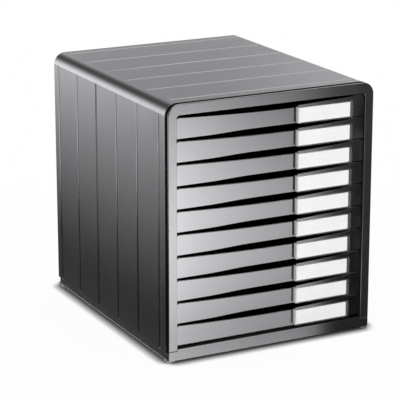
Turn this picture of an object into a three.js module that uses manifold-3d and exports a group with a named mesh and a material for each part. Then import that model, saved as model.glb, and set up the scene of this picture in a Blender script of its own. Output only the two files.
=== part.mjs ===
// Desktop drawer unit with ten slim drawers, in millimetres.
// +X is the unit's right side seen from the front, -Y is the front, +Z is up.
// The origin is the middle of the footprint, on the surface that the unit stands on.
import * as THREE from 'three';
import { mergeVertices } from 'three/addons/utils/BufferGeometryUtils.js';
import Module from 'manifold-3d';

// Overall sizes
const width = 275;
const depth = 330;
const drawerCount = 10;
const slotPitch = 28;
const topBarHeight = 13;
const sillHeight = 16;
const sillGap = 3;

// Clearance between pieces that touch on the real unit
const fit = 0.3;

// How far a cutting shape runs past what it cuts, and a joined shape into its neighbour
const pastCut = 1;
const joinDepth = 1;

// Casing, one moulding for the top and both sides
const skin = 3;
const edgeRadius = 15;
const leastRadius = 0.5;
const grooveCount = 6;
const grooveFromFront = 25;
const grooveFromRear = 14;
const grooveWidth = 2.6;
const grooveDepth = 1.2;
const grooveEnd = 2;

// Front frame, an upside-down U
const postWidth = 11.4;
const frameCornerRadius = 4.5;
const lipDepth = 1.8;
const shadowGap = 4.2;
const frameDepth = 12;

// Base: a plate with a sloped ledge along each side, an upstand under the casing, and the front sill
const footLift = 1.8;
const basePlate = 2.5;
const ledgeEdge = 0.8;
const ledgeSlope = 2.7;
const upstandHeight = 4.7;
const seamRecess = 2.2;
const sillStep = 2;
const sillCornerRadius = 3;

// Rear panel
const rearPanel = 3;
const rearInset = 1.5;

// Rubber feet
const footLength = 14;
const footWidth = 9;
const footInset = 0.3;
const footFromEnd = 2;
const footCornerRadius = 2.5;

// Runner panels
const runnerWeb = 2;
const ribSideGap = 1.2;
const bearingRib = 1.8;
const guardRib = 1.6;

// Drawer tray
const trayWall = 2;
const trayFloor = 2;
const frontWall = 2.6;
const frontSideGap = 0.9;
const frontTopGap = 0.9;
const frontLowGap = 0.4;
const trayLowGap = 1;
const trayRim = 4;
const flangeWidth = 4.7;
const flangeThick = 2;
const flangeSideGap = 1;
const drawerRearGap = 2.5;

// Lugs on the flanges meet the back of the front frame's posts and stop the drawer
const lugFromRear = 55.7;
const lugLength = 10;
const lugSideGap = 3.2;

// Drawer front: a recessed face with a finger scoop in its top edge, and a raised label pad
const faceRecess = 6.2;
const padRecess = 2.1;
const faceLowDrop = 1.7;
const archRise = 1.5;
const archFromEnd = 41;
const archFromLabel = 61;
const endTopDrop = 4.4;
const endCornerRadius = 5;
const scoopDrop = 8.4;
const scoopFromLabel = 22.7;
const scoopBend = 50;
const padTopDrop = 5.4;
const padEndDrop = 2.8;
const endBlockFromLabel = 2;
const endRiseLength = 8;
const frontCornerRadius = 2.2;

// Label window and the card behind it
const labelLength = 74.3;
const labelFromEnd = 16;
const labelTop = 7.4;
const labelOverhang = 0.5;
const windowRecess = 0.2;
const windowRim = 1.2;
const windowEndRim = 3.2;
const windowCornerRadius = 0.8;
const cardThick = 0.4;
const cardInset = 0.3;

// Places that follow from the sizes
const height = sillHeight + sillGap + drawerCount * slotPitch + topBarHeight;
const halfWidth = width / 2;
const frontY = -depth / 2;
const rearY = depth / 2;
const openingHalf = halfWidth - postWidth;
const openingTop = height - topBarHeight;
const casingFrontY = frontY + lipDepth + shadowGap;
const frameBackY = frontY + frameDepth;
const plateTop = footLift + basePlate;
const ledgeTop = footLift + ledgeEdge + ledgeSlope;
const baseTop = ledgeTop + upstandHeight;
const casingBottom = baseTop + fit;
const sillSeam = sillHeight - sillStep;
const innerHalf = halfWidth - skin;
const runnerOuter = innerHalf - fit;
const runnerInner = runnerOuter - runnerWeb;
const panelFrontY = rearY - rearInset - rearPanel;
const runnerFrontY = frameBackY + fit;
const runnerRearY = panelFrontY - fit;
const frontHalf = openingHalf - frontSideGap;
const padBottom = slotPitch - frontLowGap;
const faceBottom = slotPitch + faceLowDrop;
const trayBottom = slotPitch - trayLowGap;
const flangeHalf = openingHalf - flangeSideGap;
const trayHalf = flangeHalf - flangeWidth;
const ribInner = trayHalf + ribSideGap;
const trayRearY = panelFrontY - drawerRearGap;
const lugRearY = trayRearY - lugFromRear;
const lugHalf = runnerInner - lugSideGap;
const labelRight = frontHalf - labelFromEnd;
const labelLeft = labelRight - labelLength;
const labelBottom = padBottom + labelOverhang;
const windowBackY = frontY + padRecess - fit;

// Straight steps in each curve of an outline
const edgeSteps = 8;
const scoopSteps = 8;
const cornerSteps = 3;

// Materials
const casingPlastic = new THREE.MeshStandardMaterial({ color: 0x1d1e20, roughness: 0.38, metalness: 0 });
const glossPlastic = new THREE.MeshStandardMaterial({ color: 0x161718, roughness: 0.2, metalness: 0 });
const innerPlastic = new THREE.MeshStandardMaterial({ color: 0x121314, roughness: 0.5, metalness: 0 });
const clearPlastic = new THREE.MeshStandardMaterial({
  color: 0xe8ecee, roughness: 0.08, metalness: 0, transparent: true, opacity: 0.3,
});
const cardPaper = new THREE.MeshStandardMaterial({ color: 0xf3f3f1, roughness: 0.85, metalness: 0 });
const footRubber = new THREE.MeshStandardMaterial({ color: 0xb3b5b6, roughness: 0.8, metalness: 0 });

const wasm = await Module();
wasm.setup();

// A closed three.js geometry as a solid that can be joined and cut
function toSolid(geometry) {
  const plain = geometry.clone();
  plain.deleteAttribute('normal');
  plain.deleteAttribute('uv');
  const merged = mergeVertices(plain, 1e-4);
  const vertProperties = new Float32Array(merged.attributes.position.array);
  const triVerts = new Uint32Array(merged.index.array);
  return new wasm.Manifold(new wasm.Mesh({ numProp: 3, vertProperties, triVerts }));
}

// A solid back as a three.js geometry
function toGeometry(solid) {
  const mesh = solid.getMesh();
  const geometry = new THREE.BufferGeometry();
  geometry.setAttribute('position', new THREE.BufferAttribute(mesh.vertProperties, 3));
  geometry.setIndex(new THREE.BufferAttribute(mesh.triVerts, 1));
  geometry.computeVertexNormals();
  return geometry;
}

function block(x0, x1, y0, y1, z0, z1) {
  const geometry = new THREE.BoxGeometry(x1 - x0, y1 - y0, z1 - z0);
  geometry.translate((x0 + x1) / 2, (y0 + y1) / 2, (z0 + z1) / 2);
  return toSolid(geometry);
}

// An outline in X and Z, carried from y0 back to y1
function prismAlongY(shape, y0, y1, curveSegments = edgeSteps) {
  const geometry = new THREE.ExtrudeGeometry(shape, {
    depth: y1 - y0, bevelEnabled: false, curveSegments,
  });
  geometry.rotateX(Math.PI / 2);
  geometry.translate(0, y1, 0);
  return toSolid(geometry);
}

// An outline in X and Y, carried from z0 up to z1
function prismAlongZ(shape, z0, z1) {
  const geometry = new THREE.ExtrudeGeometry(shape, {
    depth: z1 - z0, bevelEnabled: false, curveSegments: cornerSteps,
  });
  geometry.translate(0, 0, z0);
  return toSolid(geometry);
}

// The same sides and rounded top edges at a given inset from the outer skin
function archShape(inset, bottom) {
  const half = halfWidth - inset;
  const top = height - inset;
  const radius = Math.max(edgeRadius - inset, leastRadius);
  const shape = new THREE.Shape();
  shape.moveTo(-half, bottom);
  shape.lineTo(half, bottom);
  shape.lineTo(half, top - radius);
  shape.absarc(half - radius, top - radius, radius, 0, Math.PI / 2, false);
  shape.lineTo(-half + radius, top);
  shape.absarc(-half + radius, top - radius, radius, Math.PI / 2, Math.PI, false);
  shape.closePath();
  return shape;
}

// A rectangle in the outline plane with one radius on chosen corners
function roundedRectangle(x0, x1, z0, z1, radius, corners = { low: true, high: true }) {
  const low = corners.low ? radius : 0;
  const high = corners.high ? radius : 0;
  const shape = new THREE.Shape();
  shape.moveTo(x0 + low, z0);
  shape.lineTo(x1 - low, z0);
  if (low > 0) shape.absarc(x1 - low, z0 + low, low, -Math.PI / 2, 0, false);
  shape.lineTo(x1, z1 - high);
  if (high > 0) shape.absarc(x1 - high, z1 - high, high, 0, Math.PI / 2, false);
  shape.lineTo(x0 + high, z1);
  if (high > 0) shape.absarc(x0 + high, z1 - high, high, Math.PI / 2, Math.PI, false);
  shape.lineTo(x0, z0 + low);
  if (low > 0) shape.absarc(x0 + low, z0 + low, low, Math.PI, 1.5 * Math.PI, false);
  return shape;
}

function makeCasing() {
  const outer = prismAlongY(archShape(0, casingBottom), casingFrontY, rearY);
  const hollow = prismAlongY(
    archShape(skin, casingBottom - pastCut), casingFrontY - pastCut, rearY + pastCut,
  );
  const groovePitch = (depth - grooveFromFront - grooveFromRear) / (grooveCount - 1);
  const grooveBottom = casingBottom + grooveEnd;
  let casing = outer.subtract(hollow);
  for (let i = 0; i < grooveCount; i += 1) {
    const middle = frontY + grooveFromFront + i * groovePitch;
    const y0 = middle - grooveWidth / 2;
    const y1 = middle + grooveWidth / 2;
    const ring = prismAlongY(archShape(-pastCut, grooveBottom), y0, y1);
    const kept = prismAlongY(archShape(grooveDepth, grooveBottom - pastCut), y0 - pastCut, y1 + pastCut);
    casing = casing.subtract(ring.subtract(kept));
  }
  return toGeometry(casing);
}

function makeFrontFrame() {
  const bottom = sillSeam + fit;
  const lip = prismAlongY(archShape(0, bottom), frontY, frontY + lipDepth);
  const spigot = prismAlongY(archShape(skin + fit, bottom), frontY + lipDepth - joinDepth, frameBackY);
  const opening = roundedRectangle(
    -openingHalf, openingHalf, bottom - frameCornerRadius, openingTop,
    frameCornerRadius, { low: false, high: true },
  );
  const cut = prismAlongY(opening, frontY - pastCut, frameBackY + pastCut);
  return toGeometry(lip.add(spigot).subtract(cut));
}

// Cross-section of the base behind its lip
function baseShape() {
  const upstandHalf = halfWidth - seamRecess;
  const shape = new THREE.Shape();
  shape.moveTo(-halfWidth, footLift);
  shape.lineTo(halfWidth, footLift);
  shape.lineTo(halfWidth, footLift + ledgeEdge);
  shape.lineTo(upstandHalf, ledgeTop);
  shape.lineTo(upstandHalf, baseTop);
  shape.lineTo(runnerInner, baseTop);
  shape.lineTo(runnerInner, plateTop);
  shape.lineTo(-runnerInner, plateTop);
  shape.lineTo(-runnerInner, baseTop);
  shape.lineTo(-upstandHalf, baseTop);
  shape.lineTo(-upstandHalf, ledgeTop);
  shape.lineTo(-halfWidth, footLift + ledgeEdge);
  shape.closePath();
  return shape;
}

function makeBase() {
  const lipShape = roundedRectangle(
    -halfWidth, halfWidth, footLift, sillSeam,
    sillCornerRadius, { low: true, high: false },
  );
  const stepHalf = openingHalf - fit;
  const lip = prismAlongY(lipShape, frontY, frontY + lipDepth);
  const barFrontY = frontY + lipDepth - joinDepth;
  const bar = block(-runnerOuter, runnerOuter, barFrontY, frameBackY, footLift, sillSeam);
  const step = block(-stepHalf, stepHalf, frontY, frameBackY, sillSeam - joinDepth, sillHeight);
  const body = prismAlongY(baseShape(), casingFrontY, rearY);
  const rail = block(-runnerOuter, runnerOuter, panelFrontY, panelFrontY + rearPanel, footLift, baseTop);
  return toGeometry(lip.add(bar).add(step).add(body).add(rail));
}

function makeRearPanel() {
  const outline = archShape(skin + fit, casingBottom);
  return toGeometry(prismAlongY(outline, panelFrontY, panelFrontY + rearPanel));
}

function makeRunnerPanel(side) {
  const placed = (from, to, z0, z1) => {
    const x0 = Math.min(side * from, side * to);
    const x1 = Math.max(side * from, side * to);
    return block(x0, x1, runnerFrontY, runnerRearY, z0, z1);
  };
  const inCasing = prismAlongY(archShape(skin + fit, casingBottom), runnerFrontY, runnerRearY);
  let panel = placed(runnerInner, runnerOuter, casingBottom, openingTop).intersect(inCasing);
  for (let i = 0; i < drawerCount; i += 1) {
    const flangeTop = openingTop - i * slotPitch - trayRim;
    const bearingTop = flangeTop - flangeThick - fit;
    const guardBottom = flangeTop + fit;
    panel = panel
      .add(placed(ribInner, runnerInner + joinDepth, bearingTop - bearingRib, bearingTop))
      .add(placed(ribInner, runnerInner + joinDepth, guardBottom, guardBottom + guardRib));
  }
  return toGeometry(panel);
}

// Plan outline of the drawer front, moved back by an offset
function frontLine(end, offset) {
  return [
    new THREE.Vector2(-end, frontY + faceRecess + offset),
    new THREE.Vector2(labelLeft + offset, frontY + faceRecess + offset),
    new THREE.Vector2(labelLeft + offset, frontY + padRecess + offset),
    new THREE.Vector2(end, frontY + padRecess + offset),
  ];
}

// Elevation outline of the drawer front below the top of its slot, with an arch under the face
function frontElevation(rise) {
  const left = -frontHalf;
  const r = frontCornerRadius;
  const topRadius = frameCornerRadius - frontSideGap;
  const scoopEnd = labelLeft - scoopFromLabel;
  const riseEnd = labelRight + endBlockFromLabel;
  const archStart = left + archFromEnd;
  const archEnd = labelLeft - archFromLabel;
  const archMiddle = (archStart + archEnd) / 2;
  const shape = new THREE.Shape();
  shape.moveTo(left + r, -faceBottom);
  shape.lineTo(archStart, -faceBottom);
  const archTop = rise - faceBottom;
  shape.bezierCurveTo(archMiddle, -faceBottom, archMiddle, archTop, archEnd, archTop);
  shape.lineTo(labelLeft, archTop);
  shape.lineTo(labelLeft, -padBottom);
  shape.lineTo(frontHalf, -padBottom);
  shape.lineTo(frontHalf, -frontTopGap - topRadius);
  shape.absarc(frontHalf - topRadius, -frontTopGap - topRadius, topRadius, 0, Math.PI / 2, false);
  shape.lineTo(riseEnd, -frontTopGap);
  shape.quadraticCurveTo(riseEnd - endRiseLength / 2, -frontTopGap, riseEnd - endRiseLength, -padEndDrop);
  shape.lineTo(labelLeft, -padTopDrop);
  shape.lineTo(labelLeft, -scoopDrop);
  shape.lineTo(scoopEnd, -scoopDrop);
  shape.quadraticCurveTo(scoopEnd - scoopBend, -scoopDrop, left + endCornerRadius, -endTopDrop);
  shape.quadraticCurveTo(left, -endTopDrop, left, -endTopDrop - endCornerRadius);
  shape.lineTo(left, -faceBottom + r);
  shape.absarc(left + r, -faceBottom + r, r, Math.PI, 1.5 * Math.PI, false);
  return shape;
}

function makeDrawer(rise) {
  const outline = frontLine(frontHalf, 0).concat(frontLine(frontHalf, frontWall).reverse());
  const plan = prismAlongZ(new THREE.Shape(outline), -faceBottom, -frontTopGap);
  const frontReach = faceRecess + frontWall + pastCut;
  const front = plan.intersect(
    prismAlongY(frontElevation(rise), frontY - pastCut, frontY + frontReach, scoopSteps),
  );

  const floorLine = frontLine(trayHalf, frontWall / 2);
  floorLine.push(new THREE.Vector2(trayHalf, trayRearY), new THREE.Vector2(-trayHalf, trayRearY));
  const floor = prismAlongZ(new THREE.Shape(floorLine), -trayBottom, -trayBottom + trayFloor);
  const wallBottom = -trayBottom + trayFloor / 2;
  const flangeBottom = -trayRim - flangeThick;
  let drawer = front.add(floor);
  for (const side of [-1, 1]) {
    const startY = frontY + (side < 0 ? faceRecess : padRecess) + frontWall / 2;
    const placed = (from, to, y0, y1, z0) => {
      const x0 = Math.min(side * from, side * to);
      const x1 = Math.max(side * from, side * to);
      return block(x0, x1, y0, y1, z0, -trayRim);
    };
    drawer = drawer
      .add(placed(trayHalf - trayWall, trayHalf, startY, trayRearY, wallBottom))
      .add(placed(trayHalf - trayWall / 2, flangeHalf, runnerFrontY + fit, trayRearY, flangeBottom))
      .add(placed(flangeHalf - joinDepth, lugHalf, lugRearY - lugLength, lugRearY, flangeBottom));
  }
  const rear = block(-trayHalf, trayHalf, trayRearY - trayWall, trayRearY, wallBottom, -trayRim);
  return toGeometry(drawer.add(rear));
}

// Clear cover with a pocket in its back for the card
function makeLabelWindow() {
  const outline = roundedRectangle(labelLeft, labelRight, -labelBottom, -labelTop, windowCornerRadius);
  const cover = prismAlongY(outline, frontY + windowRecess, windowBackY, cornerSteps);
  const pocket = block(
    labelLeft + windowRim, labelRight - windowEndRim,
    windowBackY - cardThick - fit, windowBackY + pastCut,
    -labelBottom + windowRim, -labelTop - windowRim,
  );
  return toGeometry(cover.subtract(pocket));
}

function makeLabelCard() {
  const inset = windowRim + cardInset;
  const cardLeft = labelLeft + inset;
  const cardRight = labelRight - windowEndRim - cardInset;
  const geometry = new THREE.BoxGeometry(
    cardRight - cardLeft, cardThick, labelBottom - labelTop - 2 * inset,
  );
  const middleZ = -(labelTop + labelBottom) / 2;
  geometry.translate((cardLeft + cardRight) / 2, windowBackY - cardThick / 2, middleZ);
  return geometry;
}

function makeFoot() {
  const halfWide = footWidth / 2;
  const halfLong = footLength / 2;
  const shape = roundedRectangle(-halfWide, halfWide, -halfLong, halfLong, footCornerRadius);
  return toGeometry(prismAlongZ(shape, 0, footLift - fit));
}

// The whole unit
const unit = new THREE.Group();

function place(parent, name, geometry, material) {
  const mesh = new THREE.Mesh(geometry, material);
  mesh.name = name;
  parent.add(mesh);
  return mesh;
}

place(unit, 'casing', makeCasing(), casingPlastic);
place(unit, 'front_frame', makeFrontFrame(), glossPlastic);
place(unit, 'base', makeBase(), glossPlastic);
place(unit, 'rear_panel', makeRearPanel(), casingPlastic);
place(unit, 'runner_panel_left', makeRunnerPanel(-1), innerPlastic);
place(unit, 'runner_panel_right', makeRunnerPanel(1), innerPlastic);

const footGeometry = makeFoot();
for (const [rowName, end] of [['front', -1], ['rear', 1]]) {
  for (const [sideName, side] of [['left', -1], ['right', 1]]) {
    const foot = place(unit, `foot_${rowName}_${sideName}`, footGeometry, footRubber);
    foot.position.x = side * (halfWidth - footInset - footWidth / 2);
    foot.position.y = end * (depth / 2 - footFromEnd - footLength / 2);
  }
}

// The lowest drawer has no arch under its face, because the sill is straight
const drawerGeometry = makeDrawer(archRise);
const lowestGeometry = makeDrawer(0);
const windowGeometry = makeLabelWindow();
const cardGeometry = makeLabelCard();
for (let i = 0; i < drawerCount; i += 1) {
  const number = String(i + 1).padStart(2, '0');
  const slot = new THREE.Group();
  slot.position.z = openingTop - i * slotPitch;
  place(slot, `drawer_${number}`, i < drawerCount - 1 ? drawerGeometry : lowestGeometry, glossPlastic);
  place(slot, `label_window_${number}`, windowGeometry, clearPlastic);
  place(slot, `label_card_${number}`, cardGeometry, cardPaper);
  unit.add(slot);
}

export default unit;
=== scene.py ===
import math

import bmesh
import bpy
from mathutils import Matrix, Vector


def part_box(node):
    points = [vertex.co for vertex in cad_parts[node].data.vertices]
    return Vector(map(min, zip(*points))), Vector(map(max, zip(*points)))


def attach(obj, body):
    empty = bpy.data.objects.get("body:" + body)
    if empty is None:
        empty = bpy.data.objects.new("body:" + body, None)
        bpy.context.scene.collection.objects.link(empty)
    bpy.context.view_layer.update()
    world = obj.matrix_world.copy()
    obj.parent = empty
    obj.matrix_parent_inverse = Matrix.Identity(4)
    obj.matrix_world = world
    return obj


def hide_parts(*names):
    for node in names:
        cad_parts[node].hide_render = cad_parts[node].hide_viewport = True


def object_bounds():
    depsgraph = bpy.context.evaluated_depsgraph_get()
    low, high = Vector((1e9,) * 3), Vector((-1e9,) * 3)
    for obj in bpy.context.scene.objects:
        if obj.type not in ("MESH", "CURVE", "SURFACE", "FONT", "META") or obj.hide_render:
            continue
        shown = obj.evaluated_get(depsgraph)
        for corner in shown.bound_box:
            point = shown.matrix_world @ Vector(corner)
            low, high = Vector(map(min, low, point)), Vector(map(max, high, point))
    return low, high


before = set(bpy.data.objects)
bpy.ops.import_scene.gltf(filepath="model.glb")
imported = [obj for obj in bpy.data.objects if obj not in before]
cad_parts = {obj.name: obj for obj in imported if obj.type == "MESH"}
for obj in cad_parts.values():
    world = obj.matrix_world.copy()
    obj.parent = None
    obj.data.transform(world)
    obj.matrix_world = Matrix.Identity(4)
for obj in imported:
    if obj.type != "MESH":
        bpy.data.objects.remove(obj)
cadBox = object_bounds()
print("frame loaded:", len(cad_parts), "nodes")

mm = 0.001
near = 0.02 * mm  # how close counts as the same place
nearArch = 5 * near  # the same on the rounded corners of the arch
facing = 0.9  # how squarely a face looks along an axis


# Small tools for edit mode
def makeActive(piece):
    if bpy.context.mode != "OBJECT":
        bpy.ops.object.mode_set(mode="OBJECT")
    bpy.ops.object.select_all(action="DESELECT")
    piece.select_set(True)
    bpy.context.view_layer.objects.active = piece


def addBox(name, low, high):
    if bpy.context.mode != "OBJECT":
        bpy.ops.object.mode_set(mode="OBJECT")
    bpy.ops.object.select_all(action="DESELECT")
    low, high = Vector(low), Vector(high)
    bpy.ops.mesh.primitive_cube_add(size=1, location=(low + high) / 2, scale=high - low)
    piece = bpy.context.active_object
    piece.name = piece.data.name = name
    bpy.ops.object.transform_apply(location=True, rotation=True, scale=True)
    return piece


def startEdit(piece):
    makeActive(piece)
    bpy.ops.object.mode_set(mode="EDIT")


def endEdit():
    bpy.ops.object.mode_set(mode="OBJECT")


def pick(piece, kind, wanted):
    bpy.ops.mesh.select_mode(type=kind)
    bpy.ops.mesh.select_all(action="DESELECT")
    mesh = bmesh.from_edit_mesh(piece.data)
    mesh.normal_update()
    parts = {"VERT": mesh.verts, "EDGE": mesh.edges, "FACE": mesh.faces}[kind]
    found = 0
    for part in parts:
        if wanted(part):
            part.select_set(True)
            found += 1
    bmesh.update_edit_mesh(piece.data)
    return found


def ends(edge):
    return edge.verts[0].co, edge.verts[1].co


def along(edge, axis):
    a, b = ends(edge)
    return all(abs(a[i] - b[i]) < near for i in range(3) if i != axis)


def cutAcross(place, axis):
    bpy.ops.mesh.select_all(action="SELECT")
    point, direction = [0, 0, 0], [0, 0, 0]
    point[axis], direction[axis] = place, 1
    bpy.ops.mesh.bisect(plane_co=point, plane_no=direction)


def roundEdges(piece, wanted, radius, steps):
    if pick(piece, "EDGE", wanted):
        bpy.ops.mesh.bevel(offset=radius, segments=steps, affect="EDGES", clamp_overlap=False)


def useModifier(piece, kind, **settings):
    makeActive(piece)
    modifier = piece.modifiers.new(kind.title(), kind)
    for key, value in settings.items():
        setattr(modifier, key, value)
    bpy.ops.object.modifier_apply(modifier=modifier.name)


def combine(piece, other, how):
    useModifier(piece, "BOOLEAN", operation=how, object=other, solver="EXACT")
    bpy.data.objects.remove(other, do_unlink=True)


def softenEdges(piece, radius, steps=2, angle=40):  # rounds every edge sharper than the angle
    useModifier(piece, "BEVEL", width=radius, segments=steps, limit_method="ANGLE",
                angle_limit=math.radians(angle), miter_outer="MITER_ARC")


def tidyMesh(piece, flat=0.2):
    startEdit(piece)
    bpy.ops.mesh.select_all(action="SELECT")
    bpy.ops.mesh.remove_doubles(threshold=near / 4)
    bpy.ops.mesh.dissolve_limited(angle_limit=math.radians(flat))
    bpy.ops.mesh.normals_make_consistent(inside=False)
    endEdit()


def smoothPiece(piece, angle=35):
    makeActive(piece)
    bpy.ops.object.shade_smooth_by_angle(angle=math.radians(angle))
    useModifier(piece, "WEIGHTED_NORMAL", keep_sharp=True, weight=80)


def finishPiece(piece, material, body, slot, *nodes):
    piece.data.materials.clear()
    piece.data.materials.append(material)
    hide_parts(*nodes)
    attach(piece, body)


# Camera at the photograph's viewing angle
cameraView = {
    "place": (-1.0527, -2.0282, 0.8007), "turn": 27.17, "downward": 16.12, "lens": 169.41, "sensor": 36,
    "nearest": 0.05, "furthest": 60,
}

bpy.ops.object.camera_add(
    location=cameraView["place"],
    rotation=(math.radians(90 - cameraView["downward"]), 0, math.radians(-cameraView["turn"])),
)
camera = bpy.context.active_object
camera.name = "photo_camera"
camera.data.lens = cameraView["lens"]
camera.data.sensor_width = cameraView["sensor"]
camera.data.clip_start = cameraView["nearest"]
camera.data.clip_end = cameraView["furthest"]
bpy.context.scene.camera = camera
bpy.context.scene.view_settings.view_transform = "Standard"
print("camera placed")


# Materials
def newMaterial(name):
    material = bpy.data.materials.new(name)
    material.use_nodes = True
    tree = material.node_tree
    shader = tree.nodes["Principled BSDF"]
    place = tree.nodes.new("ShaderNodeTexCoord")
    return material, tree, shader, place.outputs["Object"]


def addNode(tree, kind, **settings):
    node = tree.nodes.new(kind)
    for key, value in settings.items():
        setattr(node, key, value)
    return node


def addNoise(tree, place, scale, detail, stretch=None):
    noise = addNode(tree, "ShaderNodeTexNoise")
    noise.inputs["Scale"].default_value = scale
    noise.inputs["Detail"].default_value = detail
    if stretch:
        mapping = addNode(tree, "ShaderNodeMapping")
        mapping.inputs["Scale"].default_value = stretch
        tree.links.new(place, mapping.inputs["Vector"])
        place = mapping.outputs["Vector"]
    tree.links.new(place, noise.inputs["Vector"])
    return noise.outputs["Fac"]


def addRange(tree, value, low, high, newLow, newHigh):
    node = addNode(tree, "ShaderNodeMapRange")
    for key, number in (("From Min", low), ("From Max", high), ("To Min", newLow), ("To Max", newHigh)):
        node.inputs[key].default_value = number
    tree.links.new(value, node.inputs["Value"])
    return node.outputs["Result"]


def addMath(tree, how, first, second):
    node = addNode(tree, "ShaderNodeMath", operation=how)
    for socket, value in zip(node.inputs, (first, second)):
        if isinstance(value, (int, float)):
            socket.default_value = value
        else:
            tree.links.new(value, socket)
    return node.outputs["Value"]


def addSum(tree, first, second):
    return addMath(tree, "ADD", first, second)


def addProduct(tree, first, second):
    return addMath(tree, "MULTIPLY", first, second)


def addBlend(tree, factor, first, second):
    node = addNode(tree, "ShaderNodeMix", data_type="RGBA")
    tree.links.new(factor, node.inputs["Factor"])
    node.inputs["A"].default_value = (*first, 1)
    node.inputs["B"].default_value = (*second, 1)
    return node.outputs["Result"]


def addBumps(tree, shader, layers):
    normal = None
    for height, distance in layers:
        bump = addNode(tree, "ShaderNodeBump")
        bump.inputs["Strength"].default_value = 1
        bump.inputs["Distance"].default_value = distance
        tree.links.new(height, bump.inputs["Height"])
        if normal:
            tree.links.new(normal, bump.inputs["Normal"])
        normal = bump.outputs["Normal"]
    tree.links.new(normal, shader.inputs["Normal"])


plasticLooks = {
    "casing": {"colour": (0.0092, 0.0095, 0.0102), "worn": (0.019, 0.0195, 0.0205), "rough": (0.16, 0.21),
               "ior": 1.5, "wave": 0.03 * mm, "grain": 0.004 * mm, "grainScale": 1500},
    "gloss": {"colour": (0.018, 0.0185, 0.0193), "worn": (0.03, 0.031, 0.032), "rough": (0.13, 0.17),
              "ior": 1.5, "wave": 0.02 * mm, "grain": 0.0014 * mm, "grainScale": 1300},
    "drawer": {"colour": (0.0048, 0.005, 0.0054), "worn": (0.012, 0.0125, 0.013), "rough": (0.11, 0.15),
               "ior": 1.56, "wave": 0.02 * mm, "grain": 0.0016 * mm, "grainScale": 1300},
    "inner": {"colour": (0.007, 0.007, 0.0074), "worn": (0.016, 0.016, 0.017), "rough": (0.42, 0.52),
              "ior": 1.48, "wave": 0.05 * mm, "grain": 0.006 * mm, "grainScale": 1100},
}


# Slow waves, smudges, specks and rubbed edges, the same on all the black plastics
plasticWear = {
    "waveScale": 7, "smudgeScale": 42, "smudgeStretch": (1, 1, 0.6), "speckScale": 900, "specks": 0.2,
    "edgeFrom": 0.54, "edgeTo": 0.64, "edge": 0.7, "dust": 0.4, "rubbedRough": 0.08,
}


def makePlastic(name, look):
    wear = plasticWear
    material, tree, shader, place = newMaterial(name)
    wave = addNoise(tree, place, wear["waveScale"], 2)
    smudge = addNoise(tree, place, wear["smudgeScale"], 5, wear["smudgeStretch"])
    grain = addNoise(tree, place, look["grainScale"], 2)
    specks = addRange(tree, addNoise(tree, place, wear["speckScale"], 1), 0.74, 0.82, 0, wear["specks"])
    geometry = addNode(tree, "ShaderNodeNewGeometry")
    edges = addRange(tree, geometry.outputs["Pointiness"], wear["edgeFrom"], wear["edgeTo"], 0, wear["edge"])
    rubbed = addProduct(tree, edges, addRange(tree, smudge, 0.4, 0.65, 0.1, 1))
    dust = addProduct(tree, specks, addRange(tree, smudge, 0.5, 0.7, 0, wear["dust"]))
    lighter = addSum(tree, rubbed, dust)
    tree.links.new(addBlend(tree, lighter, look["colour"], look["worn"]), shader.inputs["Base Color"])
    rough = addRange(tree, smudge, 0.3, 0.7, *look["rough"])
    rough = addSum(tree, rough, addRange(tree, rubbed, 0, 1, 0, wear["rubbedRough"]))
    tree.links.new(rough, shader.inputs["Roughness"])
    shader.inputs["IOR"].default_value = look["ior"]
    addBumps(tree, shader, ((wave, look["wave"]), (grain, look["grain"])))
    return material


cardLook = {
    "colour": (0.96, 0.96, 0.955), "shade": (0.92, 0.92, 0.91), "rough": 0.85, "fibre": 0.01 * mm,
    "fibreScale": 2200, "fibreStretch": (1, 1, 2.5), "cloudScale": 60,
}


def makeCardPaper():
    material, tree, shader, place = newMaterial("label_paper")
    fibre = addNoise(tree, place, cardLook["fibreScale"], 4, cardLook["fibreStretch"])
    cloud = addNoise(tree, place, cardLook["cloudScale"], 3)
    tint = addSum(tree, addRange(tree, fibre, 0.35, 0.7, 0, 0.5), addRange(tree, cloud, 0.3, 0.7, 0, 0.4))
    tree.links.new(addBlend(tree, tint, cardLook["colour"], cardLook["shade"]), shader.inputs["Base Color"])
    shader.inputs["Roughness"].default_value = cardLook["rough"]
    addBumps(tree, shader, ((fibre, cardLook["fibre"]),))
    return material


windowLook = {
    "colour": (0.85, 0.86, 0.865), "rough": (0.04, 0.12), "ior": 1.49, "body": 0.05, "wave": 0.006 * mm,
    "hazeScale": 120, "streakScale": 60, "streakStretch": (1, 1, 14),
}


def makeWindowClear():
    material, tree, shader, place = newMaterial("label_window_clear")
    haze = addNoise(tree, place, windowLook["hazeScale"], 4)
    streaks = addNoise(tree, place, windowLook["streakScale"], 3, windowLook["streakStretch"])
    shader.inputs["Base Color"].default_value = (*windowLook["colour"], 1)
    shader.inputs["Alpha"].default_value = windowLook["body"]
    shader.inputs["IOR"].default_value = windowLook["ior"]
    wiped = addProduct(tree, haze, streaks)
    tree.links.new(addRange(tree, wiped, 0.15, 0.4, *windowLook["rough"]), shader.inputs["Roughness"])
    addBumps(tree, shader, ((haze, windowLook["wave"]),))
    return material


# The folded end of the clear holder, painted pale and nearly solid: painted light that stands in for the
# brightness of clear plastic seen along its thickness
paintedEdgeLook = {
    "colour": (0.66, 0.665, 0.67), "pale": (0.75, 0.755, 0.76), "rough": (0.18, 0.3), "body": 0.95,
    "hazeScale": 300, "streakScale": 90, "streakStretch": (1, 1, 8),
}


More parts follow.
